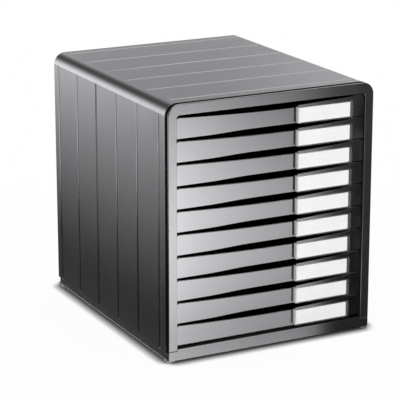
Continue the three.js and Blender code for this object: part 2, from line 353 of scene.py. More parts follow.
def makePaintedPaleEdge():
    material, tree, shader, place = newMaterial("label_edge_painted_pale")
    streaks = addNoise(tree, place, paintedEdgeLook["streakScale"], 3, paintedEdgeLook["streakStretch"])
    haze = addNoise(tree, place, paintedEdgeLook["hazeScale"], 3)
    streaks = addRange(tree, streaks, 0.35, 0.7, 0, 1)
    # Painted light: the pale streaked colour stands in for the light that the clear end carries along its
    # thickness
    tree.links.new(addBlend(tree, streaks, paintedEdgeLook["colour"], paintedEdgeLook["pale"]), shader.inputs["Base Color"])
    shader.inputs["Alpha"].default_value = paintedEdgeLook["body"]
    tree.links.new(addRange(tree, haze, 0.3, 0.7, *paintedEdgeLook["rough"]), shader.inputs["Roughness"])
    addBumps(tree, shader, ((haze, windowLook["wave"]),))
    return material


rubberLook = {
    "colour": (0.42, 0.43, 0.43), "dirt": (0.2, 0.2, 0.195), "rough": (0.7, 0.9), "grain": 0.03 * mm,
    "grainScale": 900, "stainScale": 180,
}


def makeFootRubber():
    material, tree, shader, place = newMaterial("foot_rubber")
    grain = addNoise(tree, place, rubberLook["grainScale"], 4)
    stain = addNoise(tree, place, rubberLook["stainScale"], 3)
    stain = addRange(tree, stain, 0.45, 0.75, 0, 0.6)
    tint = addBlend(tree, stain, rubberLook["colour"], rubberLook["dirt"])
    tree.links.new(tint, shader.inputs["Base Color"])
    tree.links.new(addRange(tree, grain, 0.3, 0.7, *rubberLook["rough"]), shader.inputs["Roughness"])
    addBumps(tree, shader, ((grain, rubberLook["grain"]),))
    return material


casingPlastic = makePlastic("casing_satin_plastic", plasticLooks["casing"])
glossPlastic = makePlastic("gloss_black_plastic", plasticLooks["gloss"])
drawerPlastic = makePlastic("drawer_black_plastic", plasticLooks["drawer"])
innerPlastic = makePlastic("inner_matt_plastic", plasticLooks["inner"])
labelPaper = makeCardPaper()
windowClear = makeWindowClear()
paintedPaleEdge = makePaintedPaleEdge()
footRubber = makeFootRubber()
print("materials made")


# The arch that the casing and the frame share
archSizes = {"radius": 15 * mm, "steps": 14, "halfWidth": cadBox[1].x, "top": cadBox[1].z}


def depthInArch(point):
    half, top, radius = archSizes["halfWidth"], archSizes["top"], archSizes["radius"]
    x, z = abs(point.x), point.z
    if x > half - radius and z > top - radius:
        return radius - math.hypot(x - half + radius, z - top + radius)
    return min(half - x, top - z)


def addArch(name, inset, low, high):
    box = addBox(name, (inset - archSizes["halfWidth"], low[0], low[1]),
                 (archSizes["halfWidth"] - inset, high, archSizes["top"] - inset))
    startEdit(box)
    roundEdges(
        box, lambda e: along(e, 1) and min(p.z for p in ends(e)) > archSizes["top"] - inset - near,
        archSizes["radius"] - inset, archSizes["steps"],
    )
    endEdit()
    return box


# Casing with six grooves up each side and across the top
casingSizes = {
    "skin": 3 * mm, "shadowGap": 2.2 * mm,
    "grooveCount": 6, "firstGroove": 25 * mm, "lastGroove": 14 * mm, "grooveEnd": 2 * mm,
    "grooveWidth": 2.5 * mm, "grooveDepth": 1.0 * mm, "grooveSlope": 0.85 * mm,
    "seamRound": 1.0 * mm, "rimRound": 0.2 * mm, "edgeRound": 0.15 * mm, "merge": 0.07 * mm,
}


def makeCasing():
    sizes = casingSizes
    low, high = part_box("casing")
    low.y += sizes["shadowGap"]  # a little further behind the frame, for the dark line between them
    piece = addArch("casing_shell", 0, (low.y, low.z), high.y)
    first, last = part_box("front_frame")[0].y + sizes["firstGroove"], high.y - sizes["lastGroove"]
    step = (last - first) / (sizes["grooveCount"] - 1)
    middles = [first + i * step for i in range(sizes["grooveCount"])]
    halfGroove = sizes["grooveWidth"] / 2
    grooveLow = low.z + sizes["grooveEnd"]
    startEdit(piece)
    pick(piece, "FACE", lambda f: abs(f.normal.y) > facing or f.normal.z < -facing)
    bpy.ops.mesh.delete(type="FACE")
    for middle in middles:
        cutAcross(middle - halfGroove, 1)
        cutAcross(middle + halfGroove, 1)
    cutAcross(grooveLow, 2)
    endEdit()
    useModifier(piece, "SOLIDIFY", thickness=sizes["skin"], offset=-1, use_even_offset=True)

    def onFlat(point):  # the grooves stop at the rounded corners
        corner = archSizes["radius"] - near
        return abs(point.x) < archSizes["halfWidth"] - corner or point.z < archSizes["top"] - corner

    def inGroove(face):
        centre = face.calc_center_median()
        if abs(face.normal.y) > 0.5 or centre.z < grooveLow or not onFlat(centre):
            return False
        return depthInArch(centre) < sizes["skin"] / 2 and any(
            abs(centre.y - middle) < halfGroove for middle in middles)

    startEdit(piece)
    pick(piece, "FACE", inGroove)
    bpy.ops.mesh.extrude_region_shrink_fatten(
        TRANSFORM_OT_shrink_fatten={"value": -sizes["grooveDepth"], "use_even_offset": True})

    def outside(edge):
        return max(depthInArch(p) for p in ends(edge)) < nearArch

    def besideGroove(point):
        beside = any(abs(abs(point.y - middle) - halfGroove) < near for middle in middles)
        return beside and onFlat(point) and point.z > grooveLow - near

    def onGrooveRim(edge):
        a, b = ends(edge)
        width = abs(a.y - b.y)
        return outside(edge) and besideGroove(a) and besideGroove(b) and (
            width < near or abs(width - sizes["grooveWidth"]) < near)

    def onSeam(edge):
        return outside(edge) and along(edge, 1) and max(p.z for p in ends(edge)) < low.z + near

    def onEnd(edge):
        a, b = ends(edge)
        return outside(edge) and (max(a.y, b.y) < low.y + near or min(a.y, b.y) > high.y - near)

    roundEdges(piece, onGrooveRim, sizes["grooveSlope"], steps=1)
    roundEdges(piece, onSeam, sizes["seamRound"], steps=3)
    roundEdges(piece, onEnd, sizes["rimRound"], steps=3)
    endEdit()
    softenEdges(piece, sizes["edgeRound"])
    startEdit(piece)
    bpy.ops.mesh.select_all(action="SELECT")
    bpy.ops.mesh.remove_doubles(threshold=sizes["merge"])  # slivers where three rounds meet
    bpy.ops.mesh.dissolve_degenerate(threshold=near / 2)
    endEdit()
    smoothPiece(piece)
    finishPiece(piece, casingPlastic, "housing", "casing_plastic", "casing")


makeCasing()
print("casing made")


# Front frame, an upside-down U with a spigot inside the casing
frameSizes = {
    "lip": 1.4 * mm, "spigotInset": 3.3 * mm, "post": 11.4 * mm, "topBar": 13 * mm,
    "openingRadius": 4.5 * mm, "outerRound": 0.9 * mm, "innerRound": 0.4 * mm, "edgeRound": 0.15 * mm,
    "overlap": 1 * mm, "pastBottom": 5 * mm,
}


def makeFrontFrame():
    sizes = frameSizes
    low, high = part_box("front_frame")
    halfOpening = high.x - sizes["post"]
    openingTop = high.z - sizes["topBar"]
    piece = addArch("front_frame_moulding", 0, (low.y, low.z), low.y + sizes["lip"])
    spigotFront = low.y + sizes["lip"] - sizes["overlap"]
    spigot = addArch("spigot", sizes["spigotInset"], (spigotFront, low.z), high.y)
    combine(piece, spigot, "UNION")
    opening = addBox("opening", (-halfOpening, low.y - sizes["overlap"], low.z - sizes["pastBottom"]),
                     (halfOpening, high.y + sizes["overlap"], openingTop))
    startEdit(opening)
    roundEdges(opening, lambda e: along(e, 1) and min(p.z for p in ends(e)) > openingTop - near,
               sizes["openingRadius"], steps=8)
    endEdit()
    combine(piece, opening, "DIFFERENCE")
    tidyMesh(piece)

    def onFront(edge):
        return max(p.y for p in ends(edge)) < low.y + near

    def onOuterEdge(edge):
        return onFront(edge) and max(depthInArch(p) for p in ends(edge)) < nearArch

    def onOpening(edge):
        within = all(abs(p.x) < halfOpening + near for p in ends(edge))
        return onFront(edge) and within and min(p.z for p in ends(edge)) < openingTop + near

    startEdit(piece)
    roundEdges(piece, onOuterEdge, sizes["outerRound"], steps=4)
    roundEdges(piece, onOpening, sizes["innerRound"], steps=4)
    endEdit()
    softenEdges(piece, sizes["edgeRound"])
    smoothPiece(piece)
    finishPiece(piece, glossPlastic, "housing", "gloss_plastic", "front_frame")


makeFrontFrame()
print("front frame made")


# Base with its sill, side ledges and the upstand under the casing
baseSizes = {
    "sillTop": 16 * mm, "sillSeam": 14 * mm, "lip": 1.8 * mm, "lipJoin": 0.6 * mm, "barBack": 12 * mm,
    "barInset": 3.3 * mm, "stepInset": 11.7 * mm, "stepFront": 0.5 * mm, "stepBury": 1 * mm,
    "stepBehind": 0.1 * mm, "faceThick": 2 * mm, "faceBury": 1.4 * mm, "bodyFront": 6 * mm,
    "ledgeEdge": 0.8 * mm, "ledgeTop": 2.0 * mm, "upstand": 8.2 * mm, "upstandInset": 2.2 * mm,
    "cavityInset": 5.3 * mm, "plate": 2.5 * mm, "railBack": 1.5 * mm, "rail": 3 * mm, "pastBack": 1 * mm,
    "cornerRadius": 3 * mm, "lipRound": 1.0 * mm, "ledgeRound": 0.72 * mm, "edgeRound": 0.3 * mm,
}


def makeBase():
    sizes = baseSizes
    low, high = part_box("base")
    half = high.x
    ledgeEdge, ledgeTop = low.z + sizes["ledgeEdge"], low.z + sizes["ledgeTop"]
    piece = addBox("base_moulding", (-half, low.y + sizes["bodyFront"], low.z),
                   (half, high.y, low.z + sizes["upstand"]))
    startEdit(piece)
    cutAcross(ledgeEdge, 2)
    cutAcross(ledgeTop, 2)
    pick(piece, "VERT", lambda v: v.co.z > ledgeTop - near)
    bpy.ops.transform.resize(value=((half - sizes["upstandInset"]) / half, 1, 1), center_override=(0, 0, 0))
    roundEdges(piece, lambda e: along(e, 1) and all(
        abs(p.z - ledgeEdge) < near and abs(p.x) > half - near for p in ends(e)),
               sizes["ledgeRound"], steps=4)
    endEdit()

    barBack = low.y + sizes["barBack"]
    bar = addBox("bar", (sizes["barInset"] - half, low.y + sizes["lip"] - sizes["lipJoin"], low.z),
                 (half - sizes["barInset"], barBack, sizes["sillSeam"]))
    combine(piece, bar, "UNION")
    stepHalf = half - sizes["stepInset"]
    behind = stepHalf - sizes["stepBehind"]  # inside the step's face, so that no two sides lie in one plane
    step = addBox("step", (-behind, low.y + sizes["stepFront"], sizes["sillSeam"] - sizes["stepBury"]),
                  (behind, barBack, sizes["sillTop"]))
    combine(piece, step, "UNION")

    inside = half - sizes["cavityInset"]
    floorTop = low.z + sizes["plate"]
    railBack = high.y - sizes["railBack"]
    cavity = addBox("cavity", (-inside, barBack, floorTop),
                    (inside, railBack - sizes["rail"], sizes["sillTop"]))
    combine(piece, cavity, "DIFFERENCE")
    recess = addBox("recess", (-inside, railBack, floorTop),
                    (inside, high.y + sizes["pastBack"], sizes["sillTop"]))
    combine(piece, recess, "DIFFERENCE")
    tidyMesh(piece)
    softenEdges(piece, sizes["edgeRound"])

    lip = addBox("lip", (-half, low.y, low.z), (half, low.y + sizes["lip"], sizes["sillSeam"]))
    startEdit(lip)
    roundEdges(lip, lambda e: along(e, 1) and max(p.z for p in ends(e)) < low.z + near,
               sizes["cornerRadius"], steps=8)
    roundEdges(lip, lambda e: max(p.y for p in ends(e)) < low.y + near, sizes["lipRound"], steps=4)
    endEdit()
    softenEdges(lip, sizes["edgeRound"])
    combine(piece, lip, "UNION")
    stepFace = addBox("step_face", (-stepHalf, low.y, sizes["sillSeam"] - sizes["faceBury"]),
                      (stepHalf, low.y + sizes["faceThick"], sizes["sillTop"]))
    softenEdges(stepFace, sizes["edgeRound"])
    combine(piece, stepFace, "UNION")
    tidyMesh(piece)
    startEdit(piece)
    bpy.ops.mesh.select_all(action="SELECT")
    bpy.ops.mesh.fill_holes(sides=4)  # a hairline where the bar meets the body
    endEdit()
    smoothPiece(piece)
    finishPiece(piece, glossPlastic, "housing", "gloss_plastic", "base")


makeBase()
print("base made")


# Rear panel with a shallow field
rearSizes = {"inset": 3.3 * mm, "border": 9 * mm, "field": 0.8 * mm, "edgeRound": 0.5 * mm}


def makeRearPanel():
    sizes = rearSizes
    low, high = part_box("rear_panel")
    piece = addArch("rear_panel_moulding", sizes["inset"], (low.y, low.z), high.y)
    startEdit(piece)
    pick(piece, "FACE", lambda f: f.normal.y > facing)
    bpy.ops.mesh.inset(thickness=sizes["border"], depth=0)
    bpy.ops.mesh.inset(thickness=sizes["field"], depth=-sizes["field"])
    endEdit()
    softenEdges(piece, sizes["edgeRound"], angle=25)
    smoothPiece(piece)
    finishPiece(piece, casingPlastic, "housing", "casing_plastic", "rear_panel")


makeRearPanel()


# Rubber feet
footSizes = {"corner": 2.5 * mm, "edgeRound": 0.35 * mm}


def makeFoot(node):
    low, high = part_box(node)
    piece = addBox(node + "_pad", low, high)
    startEdit(piece)
    roundEdges(piece, lambda e: along(e, 2), footSizes["corner"], steps=6)
    endEdit()
    softenEdges(piece, footSizes["edgeRound"])
    smoothPiece(piece)
    finishPiece(piece, footRubber, "housing", "foot_rubber", node)


for node in ("foot_front_left", "foot_front_right", "foot_rear_left", "foot_rear_right"):
    makeFoot(node)

for node in ("runner_panel_left", "runner_panel_right"):
    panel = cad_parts[node]
    panel.data.materials.clear()
    panel.data.materials.append(innerPlastic)
print("rear panel, feet and runner panels made")


# Drawer: a recessed face with a finger scoop, a raised label pad and the tray behind
drawerSizes = {
    "slotTop": 299 * mm, "pitch": 28 * mm, "count": 10, "half": 125.2 * mm, "wall": 2.6 * mm,
    "faceBottom": 29.7 * mm, "faceRecess": 6.2 * mm, "faceRound": 0.8 * mm, "faceBury": 1.1 * mm,
    "arch": 1.5 * mm, "archFrom": -84.2 * mm, "archTo": -26.1 * mm, "endDrop": 4.4 * mm,
    "endCorner": 5 * mm, "lowCorner": 2.2 * mm, "slice": 5 * mm,
    "scoopDrop": 8.4 * mm, "scoopEnd": 12.2 * mm, "scoopBend": 50 * mm,
    "padBottom": 27.6 * mm, "padRecess": 2.1 * mm, "padLeft": 34.9 * mm, "padDrop": 5.4 * mm,
    "padEndDrop": 2.8 * mm, "padRound": 0.35 * mm, "padBury": 0.2 * mm, "topGap": 0.9 * mm,
    "topCorner": 3.6 * mm, "riseFrom": 103.2 * mm, "riseTo": 111.2 * mm, "riseSteps": 4,
    "trayHalf": 120.4 * mm, "trayBottom": 27 * mm, "trayTop": 4 * mm, "trayWall": 2 * mm,
    "trayRear": 158 * mm, "trayRound": 1.6 * mm, "trayLowRound": 0.8 * mm, "rearMargin": 0.1 * mm,
    "stepFrom": 1 * mm, "stepMiddle": 1.5 * mm, "stepTo": 1.8 * mm, "pastCut": 1 * mm,
    "flange": 4.7 * mm, "flangeThick": 2 * mm, "flangeFront": -152.4 * mm,
    "lugFrom": 92.3 * mm, "lugTo": 102.3 * mm, "lug": 3.9 * mm, "edgeRound": 0.35 * mm,
}
frontY = cadBox[0].y
middleZ = -15 * mm  # between the top and the bottom edge of a drawer front
sameSlice = 0.002 * mm


def smoothStep(x, low, high):
    t = min(max((x - low) / (high - low), 0), 1)
    return t * t * (3 - 2 * t)


def faceTopAt(x):
    sizes = drawerSizes
    start, bend = sizes["scoopEnd"], sizes["scoopEnd"] - sizes["scoopBend"]
    stop = sizes["endCorner"] - sizes["half"]
    if x >= start:
        return -sizes["scoopDrop"]
    if x <= stop:
        return -sizes["endDrop"]
    a, b, c = start - 2 * bend + stop, 2 * (bend - start), start - x
    t = (-b - math.sqrt(max(b * b - 4 * a * c, 0))) / (2 * a) if abs(a) > 1e-9 else -c / b
    return -sizes["scoopDrop"] + t * t * (sizes["scoopDrop"] - sizes["endDrop"])


def padTopAt(x):
    sizes = drawerSizes
    if x <= sizes["riseFrom"]:
        t = (x - sizes["padLeft"]) / (sizes["riseFrom"] - sizes["padLeft"])
        return -sizes["padDrop"] + t * (sizes["padDrop"] - sizes["padEndDrop"])
    return -sizes["padEndDrop"] + (sizes["padEndDrop"] - sizes["topGap"]) * smoothStep(
        x, sizes["riseFrom"], sizes["riseTo"])


def shiftSlices(piece, wanted, shift):
    mesh = bmesh.from_edit_mesh(piece.data)
    places = sorted({round(v.co.x, 6) for v in mesh.verts if wanted(v)})
    for x in places:
        move = shift(x)
        if Vector(move).length > near / 4:
            pick(piece, "VERT", lambda v: wanted(v) and abs(v.co.x - x) < sameSlice)
            bpy.ops.transform.translate(value=move)


def makeFace(arch):
    sizes = drawerSizes
    y = frontY + sizes["faceRecess"]
    face = addBox("face", (-sizes["half"], y, -sizes["faceBottom"]),
                  (sizes["padLeft"] + sizes["faceBury"], y + sizes["wall"], -sizes["endDrop"]))

    def onLeft(edge):
        return along(edge, 1) and max(p.x for p in ends(edge)) < near - sizes["half"]

    startEdit(face)
    roundEdges(face, lambda e: onLeft(e) and ends(e)[0].z > middleZ, sizes["endCorner"], steps=7)
    roundEdges(face, lambda e: onLeft(e) and ends(e)[0].z < near - sizes["faceBottom"],
               sizes["lowCorner"], steps=5)
    place = 2 * sizes["endCorner"] - sizes["half"]
    while place < sizes["padLeft"]:
        cutAcross(place, 0)
        place += sizes["slice"]
    cutAcross(sizes["scoopEnd"], 0)
    shiftSlices(face, lambda v: v.co.z > middleZ, lambda x: (0, 0, faceTopAt(x) + sizes["endDrop"]))
    if arch:
        shiftSlices(face, lambda v: v.co.z < middleZ,
                    lambda x: (0, 0, arch * smoothStep(x, sizes["archFrom"], sizes["archTo"])))
    endEdit()
    softenEdges(face, sizes["faceRound"], steps=4, angle=50)
    return face


def makePad():
    sizes = drawerSizes
    y = frontY + sizes["padRecess"]
    pad = addBox("pad", (sizes["padLeft"], y, -sizes["padBottom"]),
                 (sizes["half"], y + sizes["wall"], -sizes["topGap"]))
    startEdit(pad)
    roundEdges(pad, lambda e: along(e, 1) and min(p.x for p in ends(e)) > sizes["half"] - near
               and min(p.z for p in ends(e)) > -sizes["topGap"] - near, sizes["topCorner"], steps=6)
    cutAcross(sizes["padLeft"] + sizes["wall"], 0)
    rise = (sizes["riseTo"] - sizes["riseFrom"]) / sizes["riseSteps"]
    for i in range(sizes["riseSteps"] + 1):
        cutAcross(sizes["riseFrom"] + i * rise, 0)
    shiftSlices(pad, lambda v: v.co.z > middleZ and v.co.x < sizes["riseTo"],
                lambda x: (0, 0, padTopAt(x) + sizes["topGap"]))
    pick(pad, "FACE", lambda f: f.normal.y > facing
         and f.calc_center_median().x < sizes["padLeft"] + sizes["wall"])
    reach = sizes["faceRecess"] - sizes["padRecess"] - sizes["padBury"]
    bpy.ops.mesh.extrude_region_move(TRANSFORM_OT_translate={"value": (0, reach, 0)})
    endEdit()
    softenEdges(pad, sizes["padRound"], steps=3, angle=50)
    return pad


def makeTray():
    sizes = drawerSizes
    half, top, wall = sizes["trayHalf"], -sizes["trayTop"], sizes["trayWall"]
    front, rear = frontY + sizes["faceRecess"] + sizes["wall"] / 2, sizes["trayRear"]
    tray = addBox("tray", (-half, front, -sizes["trayBottom"]), (half, rear, top))
    startEdit(tray)
    roundEdges(tray, lambda e: along(e, 2) and min(p.y for p in ends(e)) > rear - near,
               sizes["trayRound"], steps=4)
    roundEdges(tray, lambda e: max(p.z for p in ends(e)) < near - sizes["trayBottom"]
               and min(p.y for p in ends(e)) > front + near, sizes["trayLowRound"], steps=3)
    cutAcross(sizes["padLeft"] + sizes["stepFrom"], 0)
    cutAcross(sizes["padLeft"] + sizes["stepTo"], 0)
    padShift = sizes["padRecess"] - sizes["faceRecess"]
    shiftSlices(tray, lambda v: v.co.y < front + near,
                lambda x: (0, padShift if x > sizes["padLeft"] + sizes["stepMiddle"] else 0, 0))
    endEdit()

    cavity = addBox("cavity", (wall - half, frontY - sizes["pastCut"], wall - sizes["trayBottom"]),
                    (half - wall, rear - wall, sizes["pastCut"]))

    def onCavityEdge(edge):
        a, b = ends(edge)
        if along(edge, 2):
            return min(a.y, b.y) > rear - wall - near
        return max(a.z, b.z) < wall - sizes["trayBottom"] + near and max(a.y, b.y) > 0

    startEdit(cavity)
    roundEdges(cavity, onCavityEdge, sizes["trayRound"], steps=4)
    endEdit()
    combine(tray, cavity, "DIFFERENCE")
    tidyMesh(tray)

    def onSide(face, side, reach):
        return face.normal.x * side > facing and face.calc_center_median().x * side > reach - near

    def pushOut(wanted, side, distance):
        pick(tray, "FACE", wanted)
        bpy.ops.mesh.extrude_region_move(TRANSFORM_OT_translate={"value": (side * distance, 0, 0)})

    startEdit(tray)
    flangeLow = top - sizes["flangeThick"]
    cutAcross(sizes["flangeFront"], 1)
    cutAcross(flangeLow, 2)
    cutAcross(rear - sizes["trayRound"] - sizes["rearMargin"], 1)
    for side in (-1, 1):
        pushOut(lambda f: onSide(f, side, half) and f.calc_center_median().z > flangeLow
                and f.calc_center_median().y > sizes["flangeFront"], side, sizes["flange"])
    cutAcross(sizes["lugFrom"], 1)
    cutAcross(sizes["lugTo"], 1)
    for side in (-1, 1):
        pushOut(lambda f: onSide(f, side, half + sizes["flange"])
                and sizes["lugFrom"] < f.calc_center_median().y < sizes["lugTo"], side, sizes["lug"])
    endEdit()
    softenEdges(tray, sizes["edgeRound"], steps=2, angle=45)
    return tray


def makeDrawer(arch):
    drawer = makeTray()
    combine(drawer, makeFace(arch), "UNION")
    combine(drawer, makePad(), "UNION")
    tidyMesh(drawer, flat=0.01)  # joins only faces that lie in one plane
    smoothPiece(drawer)
    return drawer


# Clear label window with a pocket, and the card in it
labelSizes = {
    "rim": 1.2 * mm, "leftRim": 0.4 * mm, "endRim": 3.2 * mm, "pocket": 0.7 * mm, "pastBack": 1 * mm,
    "corner": 0.9 * mm, "edgeRound": 0.35 * mm, "endThick": 1.0 * mm, "endRound": 0.2 * mm,
    "endCorner": 0.7 * mm, "endDrop": 0.5 * mm, "endGap": 0.1 * mm,
    "cardLeft": 0.8 * mm, "cardCorner": 1.0 * mm, "cardRound": 0.08 * mm,
}


def slotBox(node):
    low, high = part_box(node)
    shift = Vector((0, 0, drawerSizes["slotTop"]))
    return low - shift, high - shift


def makeWindow():
    sizes = labelSizes
    low, high = slotBox("label_window_01")
    window = addBox("window", low, high)
    startEdit(window)
    roundEdges(window, lambda e: along(e, 1), sizes["corner"], steps=5)
    roundEdges(window, lambda e: max(p.y for p in ends(e)) < low.y + near, sizes["edgeRound"], steps=3)
    endEdit()
    pocket = addBox("pocket", (low.x + sizes["leftRim"], high.y - sizes["pocket"], low.z + sizes["rim"]),
                    (high.x - sizes["endRim"], high.y + sizes["pastBack"], high.z - sizes["rim"]))
    combine(window, pocket, "DIFFERENCE")
    tidyMesh(window)
    smoothPiece(window)
    return window


def makeHolderEnd():  # the clear holder folds back to the face beside the card
    sizes = labelSizes
    low, high = slotBox("label_window_01")
    back = frontY + drawerSizes["faceRecess"] - sizes["endGap"]
    left = low.x - sizes["endThick"]
    end = addBox("holder_end", (left, low.y + sizes["endRound"], low.z + sizes["endDrop"] * 2),
                 (low.x - sizes["endGap"], back, high.z - sizes["endDrop"]))
    startEdit(end)
    roundEdges(end, lambda e: along(e, 2) and max(p.x for p in ends(e)) < left + near
               and min(p.y for p in ends(e)) < back - near, sizes["endCorner"], steps=4)
    endEdit()
    softenEdges(end, sizes["endRound"] / 2)
    smoothPiece(end)
    return end


def makeCard():
    sizes = labelSizes
    low, high = slotBox("label_card_01")
    card = addBox("card", low - Vector((sizes["cardLeft"], 0, 0)), high)
    startEdit(card)
    roundEdges(card, lambda e: along(e, 1), sizes["cardCorner"], steps=5)
    endEdit()
    softenEdges(card, sizes["cardRound"])
    smoothPiece(card)
    return card


def placeCopy(model, name, drop):
    makeActive(model)
    bpy.ops.object.duplicate(linked=False)
    piece = bpy.context.active_object
    piece.name = piece.data.name = name
    piece.location = (0, 0, drop)
    bpy.ops.object.transform_apply(location=True, rotation=True, scale=True)
    return piece


# The lowest drawer stands over the straight sill, so it has no arch under its face
drawerModel, lowestModel = makeDrawer(drawerSizes["arch"]), makeDrawer(0)
windowModel, endModel, cardModel = makeWindow(), makeHolderEnd(), makeCard()
for i in range(drawerSizes["count"]):
    number = "%02d" % (i + 1)
    drop = drawerSizes["slotTop"] - i * drawerSizes["pitch"]
    model = drawerModel if i < drawerSizes["count"] - 1 else lowestModel
    for source, name, material, slot, node in (
        (model, "drawer_%s_moulding", drawerPlastic, "drawer_plastic", "drawer_%s"),
        (windowModel, "label_window_%s_cover", windowClear, "window_clear", "label_window_%s"),
        (cardModel, "label_card_%s_sheet", labelPaper, "card_paper", "label_card_%s"),
    ):
        piece = placeCopy(source, name % number, drop)
        piece.visible_shadow = material != windowClear  # the clear cover lets the light through to its card
        finishPiece(piece, material, "drawer_" + number, slot, node % number)
    end = placeCopy(endModel, "label_end_%s_clear" % number, drop)
    # The clear end gets its painted pale colour, which stands in for light along its thickness
    end.data.materials.clear()
    end.data.materials.append(paintedPaleEdge)
    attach(end, "drawer_" + number)
for model in (drawerModel, lowestModel, windowModel, endModel, cardModel):
    bpy.data.objects.remove(model, do_unlink=True)
print("drawers made")


# Tools for the floor, the light cards and the world
def addPart(tree, place, axis):
    split = addNode(tree, "ShaderNodeSeparateXYZ")
    tree.links.new(place, split.inputs["Vector"])
    return split.outputs[axis]


def addSteps(tree, value, stops, how="EASE"):
    curve = addNode(tree, "ShaderNodeValToRGB")
    ramp = curve.color_ramp
    ramp.interpolation = how
    for i, (where, level) in enumerate(stops):
        stop = ramp.elements[i] if i < 2 else ramp.elements.new(where)
        stop.position = where
        stop.color = (level, level, level, 1)
    tree.links.new(value, curve.inputs["Fac"])
    return curve.outputs["Color"]


# Pale floor with a painted shadow where the unit stands: ambient occlusion darkens the white it shows the
# camera, and its diffuse part keeps the real shadow
floorLook = {
    "size": 30, "colour": (0.98, 0.98, 0.98), "pale": 0.94,
    "reach": 22 * mm, "lean": (0.7, -0.7, 0.12), "samples": 16,
    "paintedShadow": [(0, 0.02), (0.35, 0.035), (0.55, 0.08), (0.75, 0.5), (0.9, 1)],
}


def makeFloor():
    bpy.ops.object.select_all(action="DESELECT")
    bpy.ops.mesh.primitive_plane_add(size=floorLook["size"], location=(0, 0, 0))
    floor = bpy.context.active_object
    floor.name = "floor"
    material = bpy.data.materials.new("pale_floor")
    material.use_nodes = True
    tree = material.node_tree
    tree.nodes.clear()
    output = addNode(tree, "ShaderNodeOutputMaterial")
    plain = addNode(tree, "ShaderNodeBsdfDiffuse")
    plain.inputs["Color"].default_value = (*floorLook["colour"], 1)
    white = addNode(tree, "ShaderNodeEmission")
    paintedShadow = addNode(tree, "ShaderNodeAmbientOcclusion", samples=floorLook["samples"])
    paintedShadow.inputs["Distance"].default_value = floorLook["reach"]
    paintedShadow.inputs["Normal"].default_value = floorLook["lean"]
    # Painted shadow: the white emission darkens with ambient occlusion near the unit, leaning so that it
    # falls mostly beside the left side and little in front
    tree.links.new(addSteps(tree, paintedShadow.outputs["AO"], floorLook["paintedShadow"]), white.inputs["Color"])
    path = addNode(tree, "ShaderNodeLightPath")
    seen = addProduct(tree, path.outputs["Is Camera Ray"], floorLook["pale"])
    mix = addNode(tree, "ShaderNodeMixShader")
    tree.links.new(seen, mix.inputs["Fac"])
    tree.links.new(plain.outputs["BSDF"], mix.inputs[1])
    tree.links.new(white.outputs["Emission"], mix.inputs[2])
    tree.links.new(mix.outputs["Shader"], output.inputs["Surface"])
    floor.data.materials.append(material)
    floor.visible_glossy = False


makeFloor()


# Studio reflectors just under the floor, seen only in the gloss of the plastic
coolWhite = (0.99, 0.988, 1.022, 1)
studioPlan = {"height": -4 * mm, "gap": 2 * mm, "split": -0.25, "right": 3, "reach": 4, "rear": 5}


def makeReflector(name, low, high, build):
    bpy.ops.object.select_all(action="DESELECT")
    middle = ((low[0] + high[0]) / 2, (low[1] + high[1]) / 2, studioPlan["height"])
    bpy.ops.mesh.primitive_plane_add(size=1, location=middle)
    card = bpy.context.active_object
    card.name = name
    card.scale = (high[0] - low[0], high[1] - low[1], 1)
    bpy.ops.object.transform_apply(location=True, rotation=True, scale=True)
    material = bpy.data.materials.new(name + "_light")
    material.use_nodes = True
    tree = material.node_tree
    tree.nodes.clear()
    output = addNode(tree, "ShaderNodeOutputMaterial")
    glow = addNode(tree, "ShaderNodeEmission")
    glow.inputs["Color"].default_value = coolWhite
    place = addNode(tree, "ShaderNodeTexCoord").outputs["Object"]
    tree.links.new(build(tree, place), glow.inputs["Strength"])
    tree.links.new(glow.outputs["Emission"], output.inputs["Surface"])
    material.cycles.emission_sampling = "NONE"
    card.data.materials.append(material)
    card.visible_camera = card.visible_diffuse = card.visible_transmission = card.visible_shadow = False
    card.visible_volume_scatter = False


def addAway(tree, place):  # how far in front of the unit
    return addRange(tree, addPart(tree, place, "Y"), frontY, frontY - 2, 0, 2)


def addLean(tree, first, second, lean):
    return addSum(tree, first, addProduct(tree, second, lean))


frontCard = {
    "strength": 17.6, "lean": 0.595, "left": -0.55, "right": 0.20, "reach": 1.4,
    "sideways": [
        (0, 0.004), (0.12, 0.3), (0.2, 1), (0.333, 1.05), (0.4, 1), (0.453, 0.945), (0.507, 0.845),
        (0.56, 0.675), (0.6, 0.586), (0.64, 0.525), (0.68, 0.465), (0.72, 0.42), (0.76, 0.39),
        (0.793, 0.34), (0.813, 0.255), (0.833, 0.08), (0.85, 0.012), (0.87, 0.003), (1, 0.001),
    ],
    "outward": [
        (0, 0.78), (0.029, 0.76), (0.071, 0.79), (0.129, 0.91), (0.214, 1.01), (0.3, 1.03),
        (0.393, 1.02), (0.5, 0.891), (0.607, 0.774), (0.714, 0.677), (0.821, 0.553), (1, 0.4),
    ],
    "darkLean": 0.45, "dark": (-0.19, -0.15),  # beside the unit, for its side grooves
    "fill": 1.6, "fillRange": (0.26, 0.5),  # only other views show the fill
}


def frontGlow(tree, place):
    x, away = addPart(tree, place, "X"), addAway(tree, place)
    across = addLean(tree, x, away, -frontCard["lean"])
    sideways = addSteps(tree, addRange(tree, across, frontCard["left"], frontCard["right"], 0, 1),
                        frontCard["sideways"], "LINEAR")
    outward = addSteps(tree, addRange(tree, away, 0, frontCard["reach"], 0, 1),
                       frontCard["outward"], "LINEAR")
    beside = addLean(tree, x, away, -frontCard["darkLean"])
    level = addProduct(tree, sideways, outward)
    level = addProduct(tree, level, addRange(tree, beside, *frontCard["dark"], 0, 1))
    fill = addRange(tree, across, *frontCard["fillRange"], 0, frontCard["fill"])
    return addSum(tree, addProduct(tree, level, frontCard["strength"]), fill)


# Lights the slopes of the side grooves
cornerCard = {
    "strength": 12, "from": -0.50, "to": -0.66, "dark": 0.01, "lean": 0.666, "middle": -0.04,
    "far": (-1.3, -1.05), "farLevel": 0.85, "fillLean": 0.514, "fillRange": (0.12, 0.4),
}


